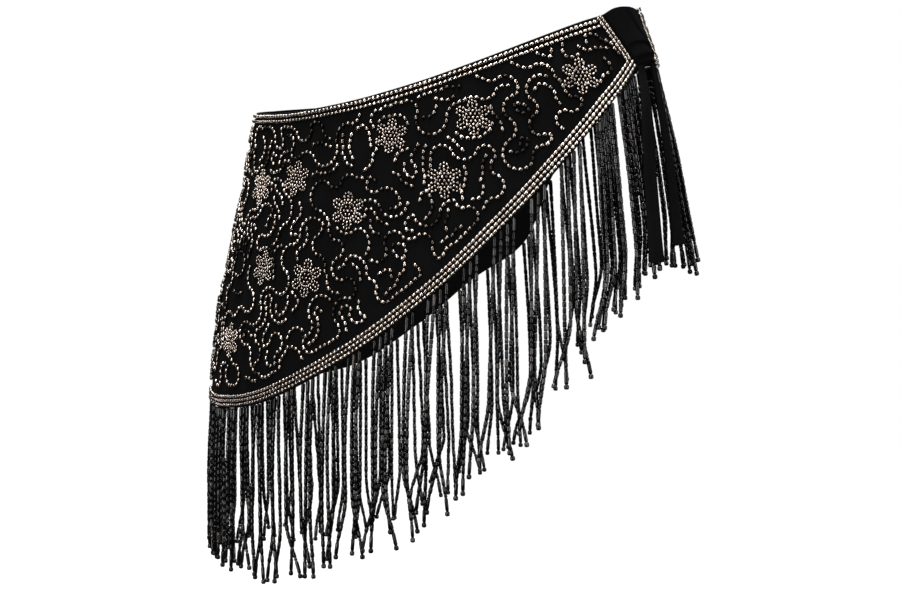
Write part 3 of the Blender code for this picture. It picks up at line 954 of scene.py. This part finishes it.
# %% A walker that fills a panel with chains
class Walker:
    """Fills one panel with wandering chains."""

    def __init__(self, side, seed):
        self.side = side
        self.chance = random.Random(seed)
        self.cells = {}
        self.hearts = [(panel_point(side, one.along, one.down), one.radius) for one in FLOWERS[side]]

    def cell(self, point):
        """The cube of space that a point lies in, so that only near beads are measured."""
        return tuple(int(math.floor(value / CHAIN_ROOM)) for value in point)

    def steps(self, along, down):
        """Point, and how it moves for each unit along and down the panel."""
        here = form_point(*panel_place(self.side, along, down))
        ahead = form_point(*panel_place(self.side, along + SMALL_SHARE, down))
        below = form_point(*panel_place(self.side, along, down + SMALL_SHARE))
        return here, (ahead - here) / SMALL_SHARE, (below - here) / SMALL_SHARE

    def inside(self, along, down):
        """Whether a place is clear of the panel's edges."""
        if not (0.0 < along < 0.99 and 0.0 < down < 1.0):
            return False
        here, by_along, by_down = self.steps(along, down)
        depth, run = by_down.length, by_along.length
        slant = math.sqrt(max(1 - (by_along.dot(by_down) / depth / run) ** 2, LEAST_SLANT))
        return (down * depth * slant > EDGE_ROOM["top"] and (1 - down) * depth * slant > EDGE_ROOM["hem"]
                and along * run * slant > EDGE_ROOM["end"] and (1 - along) * run > EDGE_ROOM["seam"])

    def free(self, point, own):
        """Whether a point keeps its distance from flowers and other beads."""
        if any((point - heart).length < radius + FLOWER_ROOM for heart, radius in self.hearts):
            return False
        x, y, z = self.cell(point)
        for i in (-1, 0, 1):
            for j in (-1, 0, 1):
                for k in (-1, 0, 1):
                    for other, chain, number in self.cells.get((x + i, y + j, z + k), ()):
                        near = chain == own[0] and own[1] - number < OWN_NEAR
                        if not near and (point - other).length < CHAIN_ROOM:
                            return False
        return True

    def moved(self, along, down, heading):
        """The place one pitch away along a heading."""
        here, by_along, by_down = self.steps(along, down)
        across = by_along.normalized()
        up = (by_down - across * by_down.dot(across)).normalized()
        step = (across * math.cos(heading) + up * math.sin(heading)) * SCROLL_PITCH
        down_step = step.dot(up) / by_down.dot(up)
        along_step = (step.dot(across) - by_down.dot(across) * down_step) / by_along.length
        return along + along_step, down + down_step

    def chain(self, number):
        """One chain from a chance place, or nothing where there is no room."""
        chance = self.chance
        along, down = chance.uniform(0.02, 0.98), chance.uniform(0.0, 1.0)
        if not self.inside(along, down) or not self.free(self.steps(along, down)[0], (number, 0)):
            return None
        heading = chance.uniform(0, math.tau)
        way = chance.choice((-1, 1))
        left = 0
        places, points = [(along, down)], [self.steps(along, down)[0]]
        for bead in range(1, CHAIN_LIMIT):
            if left == 0:
                radius = chance.uniform(*BEND)
                left = round(chance.uniform(*BEND_TURN) * radius / SCROLL_PITCH)
                way = -way
                bend = way * SCROLL_PITCH / radius
            left -= 1
            for extra in TURN_TRIES:
                tried = heading + bend + math.radians(extra) * way
                place = self.moved(along, down, tried)
                if self.inside(*place):
                    point = self.steps(*place)[0]
                    if self.free(point, (number, bead)):
                        break
            else:
                break
            heading = tried
            along, down = place
            places.append(place)
            points.append(point)
            self.cells.setdefault(self.cell(point), []).append((point, number, bead))
        self.cells.setdefault(self.cell(points[0]), []).append((points[0], number, 0))
        return places if len(places) >= SHORTEST else None

    def fill(self):
        """Chains until the panel is full."""
        chains = [self.chain(number) for number in range(TRIES)]
        return [chain for chain in chains if chain]


# %% Scroll beads on both panels
SCROLL_SEEDS = {"front": 5, "back": 9}
SCROLL_BEADS = {
    "Pitch": SCROLL_PITCH, "Bead Length": 0.0029, "Bead Width": 0.0025, "Bead Corner": 0.17,
    "Size Scatter": 0.07, "Patchiness": 0.66, "Least Tone": 0.0, "Seed": 21,
}
scrolls = {}
for side, seed in SCROLL_SEEDS.items():
    chains = Walker(side, seed).fill()
    print(side, len(chains), "chains of", sum(len(chain) for chain in chains), "beads")
    lines = [sewn_line([panel_place(side, *place) for place in chain], BEAD_LIFT) for chain in chains]
    scrolls[side] = seed_beads("scroll", side, lines, SCROLL_BEADS)

# %% [markdown]
# ## The fringe
# A strand is a thread of hexagonal bugles that hangs from the hem: a long bugle at the root, then shorter
# ones of uneven length, a small round bead, one more long bugle and a round bead that the thread turns back
# through. Strands are sewn on in uneven groups, fall straight down the form, and splay at their tips. A
# strand that would cut into its neighbours is hung anew. Each edge of the guide mesh is one bead here, so
# the tree reads its middle, way and length from the edge itself.

# %% Where strands are sewn
STRAND_PITCH = 0.0062          # from one strand to the next on average, as seen from above
SEED = 11                      # of the chance in both fringes
GROUP_SIZES = (2, 3, 3, 4, 5)  # strands that are sewn close together
GROUP_STEP = 0.0042            # from one strand to the next in a group
FULL_TO = 0.25                 # share of the hem from the tie that has more strands
FULL_GAP = 0.0085              # gap there that takes one more


def strand_shares(side):
    """Shares along a hem of its strands, which are sewn in uneven groups."""
    ground = walk(side, "hem", level=True)
    count = int(ground[-1] / STRAND_PITCH)
    chance = random.Random(SEED + len(side))
    shares = []
    while len(shares) < count:
        size = min(chance.choice(GROUP_SIZES), count - len(shares))
        middle = (len(shares) + size / 2) * ground[-1] / count
        for number in range(size):
            shares.append(share_at(ground, middle + (number - (size - 1) / 2) * GROUP_STEP))
    return shares


def filled_gaps(side, shares):
    """The shares, with one more in the middle of each wide gap near the tie, where the fringe is fullest."""
    hem = walk(side, "hem")[-1]
    more = [(a + b) / 2 for a, b in zip(shares, shares[1:]) if b < FULL_TO and (b - a) * hem > FULL_GAP]
    return sorted(shares + more)


print("Strands:", {side: len(filled_gaps(side, strand_shares(side))) for side in PANELS})


# %% How a strand falls
ROOT_DROP = 0.0006             # how far under the hem a strand starts
TAPE_PROUD = 0.0015            # how far off the figure it starts
LAYERS = (0.0010, 0.0038)      # clearance of the two layers of strands from the figure
LENGTHS = {                    # of a strand, at even steps along the hem from the tie
    "front": (0.128, 0.142, 0.156, 0.141, 0.114, 0.114),
    "back": (0.138, 0.142, 0.148, 0.150, 0.138, 0.116),
}
LENGTH_SCATTER = 0.005         # most that a strand is longer or shorter than that
FLARE = 0.0006                 # how much farther off the figure the tips hang
SWAY = 0.0014                  # sideways swing of a layer of strands
SWAY_WAVES = (7.0, 9.0)        # swings round the figure, for each layer
SWAY_SHIFT = 2                 # radians that the second layer's swings are shifted by
FALL_STEP = 0.02               # height fallen between two looks at the form
SPLAY = 0.0115                 # most that a tip swings out
SPLAY_FROM = 0.68              # share of the length where it starts to
STRAND_STEPS = 24              # steps down a strand


def fallen_turn(turn, start, height):
    """The turn a strand comes to when it falls straight down the form to a height."""
    while start > height:
        low = max(start - FALL_STEP, height)
        here = form_point(turn, start)
        out = way_out(turn, start)
        landed = here + out * (form_point(turn, low) - here).dot(out)
        turn = place_of(Vector((landed.x, landed.y, low)))[0]
        start = low
    return turn


def strand_path(side, share, number, scatter, chance):
    """Points down the middle of a strand, from its root under the hem to its tip."""
    turn, height = panel_place(side, share, 1.0)
    length = smooth([(one,) for one in LENGTHS[side]], share)[0] + scatter
    layer = number % len(LAYERS)
    root_height = inset_place(side, "hem", share, -ROOT_DROP)[1]
    splay = chance.uniform(-1, 1) * SPLAY
    lean = chance.uniform(-1, 1) * SWAY
    path = []
    for step in range(STRAND_STEPS + 1):
        stop = step / STRAND_STEPS
        low = root_height - stop * length
        speed = half_width(low) * FIGURE_DEPTH ** 0.5 * math.pi / 180
        swing = SWAY * math.sin(math.radians(turn) * SWAY_WAVES[layer] + layer * SWAY_SHIFT) + lean
        swing = swing * ease(stop) + splay * ease((stop - SPLAY_FROM) / (1 - SPLAY_FROM))
        proud = TAPE_PROUD + (LAYERS[layer] - TAPE_PROUD) * ease(stop * 2) + FLARE * ease(stop)
        path.append(form_point(fallen_turn(turn, height, low) + swing / speed, low, proud))
    return path


# %% Hanging a strand clear of its neighbours
PATH_TRIES = 30                # ways that a strand may hang before the freest is taken
NEIGHBOURS = 8                 # strands before it that it mustn't cut into
SPOTS = 5                      # points measured on each step of a strand


def spots_on(path):
    """Points so close together on a path that a crossing can't slip between them."""
    spots = []
    for a, b in zip(path, path[1:]):
        spots += [a + (b - a) * (part / SPOTS) for part in range(SPOTS)]
    return np.array(spots)


def nearest(spots, others):
    """How near a strand comes to the ones beside it."""
    gaps = [np.linalg.norm(spots[:, None, :] - other[None, :, :], axis=2).min() for other in others]
    return min(gaps, default=1.0)


def free_path(side, share, number, scatter, chance, others):
    """A strand's path that passes its neighbours without cutting into them, or the best of a few."""
    best = None
    for _ in range(PATH_TRIES):
        path = strand_path(side, share, number, scatter, chance)
        spots = spots_on(path)
        gap = nearest(spots, others[-NEIGHBOURS:])
        if best is None or gap > best[0]:
            best = (gap, path, spots)
        if gap > BUGLE_WIDTH:
            break
    others.append(best[2])
    return best[1]


# %% How its beads follow each other
BUGLE_WIDTH = 0.0028
BUGLE_GAP = 0.00008
BUGLES = (0.0039, 0.0060)      # shortest and longest of the uneven bugles
SHORT_BUGLE = 0.0030           # an odd short one now and then
SHORT_CHANCE = 0.13
ROOT_BUGLE = 0.0100
TIP_BUGLE = 0.0090
TIP_SEED = 0.0022
TIP_BEAD = 0.0032
ROUND_WIDTH = 1.05             # width of a round bead for its length
ROOT_SCATTER = (0.65, 1.15)    # share of its length that a root bugle has, least and most
WIDTH_SCATTER = (0.94, 1.04)   # the same for a bugle's width
FIRST_BEAD = 0.0002            # how far down the strand it starts


def bead_lengths(length, chance):
    """Lengths of a strand's beads from root to tip, and which of them are round."""
    tail = [(TIP_SEED, True), (TIP_BUGLE, False), (TIP_BEAD, True)]
    room = length - ROOT_BUGLE - sum(one for one, _ in tail) - len(tail) * BUGLE_GAP
    beads = [(ROOT_BUGLE * chance.uniform(*ROOT_SCATTER), False)]
    while room > BUGLES[0]:
        one = SHORT_BUGLE if chance.random() < SHORT_CHANCE else chance.uniform(*BUGLES)
        beads.append((one, False))
        room -= one + BUGLE_GAP
    return beads + tail


def along_path(path, distance):
    """The point at a distance down a path."""
    for a, b in zip(path, path[1:]):
        run = (b - a).length
        if distance <= run:
            return a + (b - a) * (distance / run)
        distance -= run
    return path[-1] + (path[-1] - path[-2]).normalized() * distance


def strand_beads(path, length, chance):
    """Ends and width of each bead of a strand."""
    beads = []
    at = FIRST_BEAD
    for long, is_round in bead_lengths(length, chance):
        wide = long * ROUND_WIDTH if is_round else BUGLE_WIDTH * chance.uniform(*WIDTH_SCATTER)
        beads.append((along_path(path, at), along_path(path, at + long), wide, is_round))
        at += long + BUGLE_GAP
    return beads


print("Beads in a strand of 14 cm:", len(bead_lengths(0.14, random.Random(SEED))))


# %% The tree that makes every edge a bead
def make_strand_tree():
    """A bead on each edge of a guide mesh, as long as the edge."""
    tree, given = new_tree("bead_on_each_edge")
    ends = add(tree, "GeometryNodeInputMeshEdgeVertices").outputs
    run = add(tree, "ShaderNodeVectorMath", {
        0: ends["Position 2"], 1: ends["Position 1"]}, operation="SUBTRACT")
    kept = store(tree, "way", given["Geometry"], run.outputs["Vector"], "FLOAT_VECTOR", "EDGE")
    points = add(tree, "GeometryNodeMeshToPoints", {"Mesh": kept}, mode="EDGES")
    way = stored(tree, "way", "FLOAT_VECTOR")
    wide = stored(tree, "width", "FLOAT")
    long = add(tree, "ShaderNodeVectorMath", {0: way}, operation="LENGTH").outputs["Value"]
    size = add(tree, "ShaderNodeCombineXYZ", {0: wide, 1: wide, 2: long})
    turned = add(tree, "FunctionNodeAlignRotationToVector", {"Vector": way}, axis="Z")
    # Each bead keeps a mask that rises near both of its ends; the glass drops its shine there, partly for the
    # dull cut end and partly as painted shade at the joints.
    from_middle = maths(tree, "ABSOLUTE", coordinate(tree, "Z"))
    dull_end_and_joint_shade = ranged(tree, from_middle, {"From Min": 0.38, "From Max": 0.50})
    bead = store(tree, "cut_end_and_joint_shade", bead_shape(tree, given), dull_end_and_joint_shade, "FLOAT", "POINT")
    string_beads(tree, given, points.outputs["Points"], bead, turned.outputs[0], size.outputs[0])
    return tree


strand_tree = make_strand_tree()
print("Tree", strand_tree.name, "has", len(strand_tree.nodes), "nodes")


# %% Both fringes
def bead_guide(name, beads):
    """A mesh with one edge for each bead, which keeps the bead's width."""
    mesh = bpy.data.meshes.new(name)
    points = [end for start, stop, _, _ in beads for end in (start, stop)]
    mesh.from_pydata(points, [(2 * i, 2 * i + 1) for i in range(len(beads))], [])
    kept = mesh.attributes.new("width", "FLOAT", "EDGE")
    kept.data.foreach_set("value", [wide for _, _, wide, _ in beads])
    return mesh


BLACK_GLASS = {"Patchiness": 0.0, "Least Tone": 0.0, "Finish": bugle_glass}
CANE = {"Sides": 6, "Wall": 0.62, "Bead Corner": 0.13, "Corner Cuts": 1, "Seed": 4, **BLACK_GLASS}
TIP = {"Sides": 8, "Wall": 0.72, "Bead Corner": 0.28, "Corner Cuts": 2, "Seed": 6, **BLACK_GLASS}
fringes = {}
fringe_tips = {}
for side in PANELS:
    chance = random.Random(SEED + len(side))
    extra = random.Random(SEED * 7 + len(side))
    shares = filled_gaps(side, strand_shares(side))
    beads = []
    hung = []
    for number, share in enumerate(shares):
        scatter = chance.uniform(-1, 1) * LENGTH_SCATTER
        path = free_path(side, share, number, scatter, extra, hung)
        length = sum((b - a).length for a, b in zip(path, path[1:]))
        beads += strand_beads(path, length, extra)
    bugles = [bead for bead in beads if not bead[3]]
    balls = [bead for bead in beads if bead[3]]
    print(side, len(shares), "strands,", len(bugles), "bugles and", len(balls), "round beads")
    edges = bead_guide(f"bugle_edges_{side}", bugles)
    fringes[side] = grow(f"fringe_bugles_{side}", edges, strand_tree, CANE)
    edges = bead_guide(f"tip_edges_{side}", balls)
    fringe_tips[side] = grow(f"fringe_tips_{side}", edges, strand_tree, TIP)

# %% [markdown]
# ## The tape under the hem
# The strands' threads are caught in a narrow roll of the same crepe under the last row of beads. A thin
# wall that follows the hem and shows just under it is enough, and it closes the gap that light would shine
# through.

# %% Tape
TAPE_REACH = (0.004, 0.998)    # shares of the hem where it starts and stops
TAPE_TUCK = 0.0010             # how far the tape goes up behind the hem's turned edge
TAPE_SHOWS = 0.0006            # how much of it shows under the hem
TAPE_OUT = 0.0002              # how far its inner face is off the figure
TAPE_THICKNESS = 0.0011        # from its inner face to its outer one
tapes = {}
for side in PANELS:
    def tape(along, across, face, side=side):
        share = TAPE_REACH[0] + (TAPE_REACH[1] - TAPE_REACH[0]) * along
        turn, height = inset_place(side, "hem", share, TAPE_TUCK - across * (TAPE_TUCK + TAPE_SHOWS))
        return on_cloth(turn, height, TAPE_OUT + face * TAPE_THICKNESS)

    tapes[side] = cloth_wall(f"hem_tape_{side}", tape, 200, 2)
    print(tapes[side].name, "follows the", side, "hem")

# %% [markdown]
# ## Put each piece on its body
# Every piece rides on the one body, and the solids of the frame that it stands for are hidden.

# %% Bodies, and the solids that are hidden
def dress(piece, slot, *nodes):
    """A piece's body and the nodes that it replaces; its material slot is not used."""
    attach(piece, "root")
    if nodes:
        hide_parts(*nodes)


for side in PANELS:
    count = len(FLOWERS[side])
    dress(panels[side], "black_crepe", f"panel_{side}")
    dress(tapes[side], "black_crepe")
    dress(borders[side], "pewter_beads", *(f"border_{edge}_{side}" for edge in ROWS))
    dress(flowers[side], "pewter_beads", *(f"flower_{side}_{number:02d}" for number in range(1, count + 1)))
    dress(scrolls[side], "pewter_beads")
    dress(fringes[side], "black_bugles", f"fringe_{side}")
    dress(fringe_tips[side], "black_bugles")
dress(tie, "black_crepe", "tie_tab")
for name in TAILS:
    dress(tails[name], "black_crepe", name)

for side in PANELS:
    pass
area_of(tie_point)

# %% [markdown]
# ## A plain studio
# The belt hangs where its wearer's hips would be, so the floor is a metre below it. A broad pale floor, a
# white sky, a sun straight above the floor and four soft lamps give the even light of a catalogue picture.
# Glossy beads need something bright to mirror and something dark beside it. Two tall strip lamps draw a
# streak down every hanging bugle, which a lamp high up would miss, and the floor is left out of
# reflections, as black flags do.

# %% Floor, light and sky
FLOOR_HEIGHT = -1.0
FLOOR_RADIUS = 4.0


def make_floor():
    """A wide round pale floor."""
    mesh = bmesh.new()
    bmesh.ops.create_circle(mesh, cap_ends=True, segments=96, radius=FLOOR_RADIUS)
    bmesh.ops.translate(mesh, verts=mesh.verts, vec=(0, 0, FLOOR_HEIGHT))
    data = bpy.data.meshes.new("studio_floor")
    mesh.to_mesh(data)
    mesh.free()
    floor = put_in_scene("studio_floor", data)
    material, tree, shader = shader_of("studio_paper")
    fill(tree, shader, {"Base Color": (0.86, 0.86, 0.86, 1.0), "Roughness": 0.9})
    data.materials.append(material)
    floor.visible_glossy = False
    return floor


Lamp = namedtuple("Lamp", "name place wide tall power")
LAMPS = (
    Lamp("key_strip", (-0.33, -2.38, 0.15), 0.45, 2.0, 25.0),
    Lamp("side_strip", (2.36, -0.42, 0.20), 0.40, 2.0, 19.0),
    Lamp("top_box", (-0.2, -1.5, 1.9), 1.0, 1.0, 30.0),
    Lamp("back_box", (-1.4, 1.9, 1.2), 1.0, 1.4, 30.0),
)
LAMP_AIM = Vector((0.0, 0.0, -0.15))
SUN_POWER = 3.75
SUN_ANGLE = math.radians(30)
SKY_LIGHT = 0.03               # what the belt gets of the white that the eye sees


def make_lamp(lamp):
    """A soft lamp that points at the belt."""
    light = bpy.data.lights.new(lamp.name, "AREA")
    light.shape = "RECTANGLE"
    light.size = lamp.wide
    light.size_y = lamp.tall
    light.energy = lamp.power
    thing = put_in_scene(lamp.name, light)
    thing.location = lamp.place
    thing.rotation_euler = (LAMP_AIM - thing.location).to_track_quat("-Z", "Y").to_euler()


def make_sun():
    """A soft sun straight above, which brightens the floor and hardly touches the upright cloth."""
    light = bpy.data.lights.new("floor_sun", "SUN")
    light.energy = SUN_POWER
    light.angle = SUN_ANGLE
    put_in_scene("floor_sun", light).location = (0, 0, 3)


def make_sky():
    """A white sky for the eye, which gives the belt only a dim even light."""
    world = bpy.data.worlds.new("studio_sky")
    world.use_nodes = True
    tree = world.node_tree
    seen = add(tree, "ShaderNodeLightPath").outputs["Is Camera Ray"]
    strength = ranged(tree, seen, {"To Min": SKY_LIGHT, "To Max": 1.0})
    fill(tree, tree.nodes["Background"], {"Color": (1.0, 1.0, 1.0, 1.0), "Strength": strength})
    bpy.context.scene.world = world


make_floor()
for lamp in LAMPS:
    make_lamp(lamp)
make_sun()
make_sky()
bpy.context.scene.view_settings.view_transform = "Standard"
print("Lamps:", len(LAMPS))

# %% [markdown]
# ## The camera
# It looks from 30 degrees round towards the tie and 7 degrees above, from 1.75 m, with a long lens. The
# picture's middle lies well below the opening at the waist, because the fringe hangs far down.

# %% Camera
CAMERA_TURN = 30.0
CAMERA_RISE = 7.0
CAMERA_DISTANCE = 1.75
LENS = 100.0
SENSOR = 36.0
WIDTH, HEIGHT = 900, 600       # of the picture, in pixels
AXIS_SEEN = (457.0, 62.0)      # where the origin is seen, in pixels from the top left


def make_camera():
    """The camera, placed so that the origin is seen where it should be."""
    turn, rise = math.radians(CAMERA_TURN), math.radians(CAMERA_RISE)
    right = Vector((math.cos(turn), math.sin(turn), 0))
    back = Vector((math.sin(turn) * math.cos(rise), -math.cos(turn) * math.cos(rise), math.sin(rise)))
    up = back.cross(right)
    pixel = SENSOR / LENS / WIDTH * CAMERA_DISTANCE
    aside = (AXIS_SEEN[0] - WIDTH / 2) * pixel
    above = (HEIGHT / 2 - AXIS_SEEN[1]) * pixel
    data = bpy.data.cameras.new("camera")
    data.lens = LENS
    data.sensor_width = SENSOR
    camera = put_in_scene("camera", data)
    camera.location = back * CAMERA_DISTANCE - right * aside - up * above
    camera.rotation_euler = back.to_track_quat("Z", "Y").to_euler()
    bpy.context.scene.camera = camera
    return camera


camera = make_camera()
print("Camera at", [round(value, 3) for value in camera.location])

# %% [markdown]
# ## The end

# %% The last line
print("The belt is dressed")
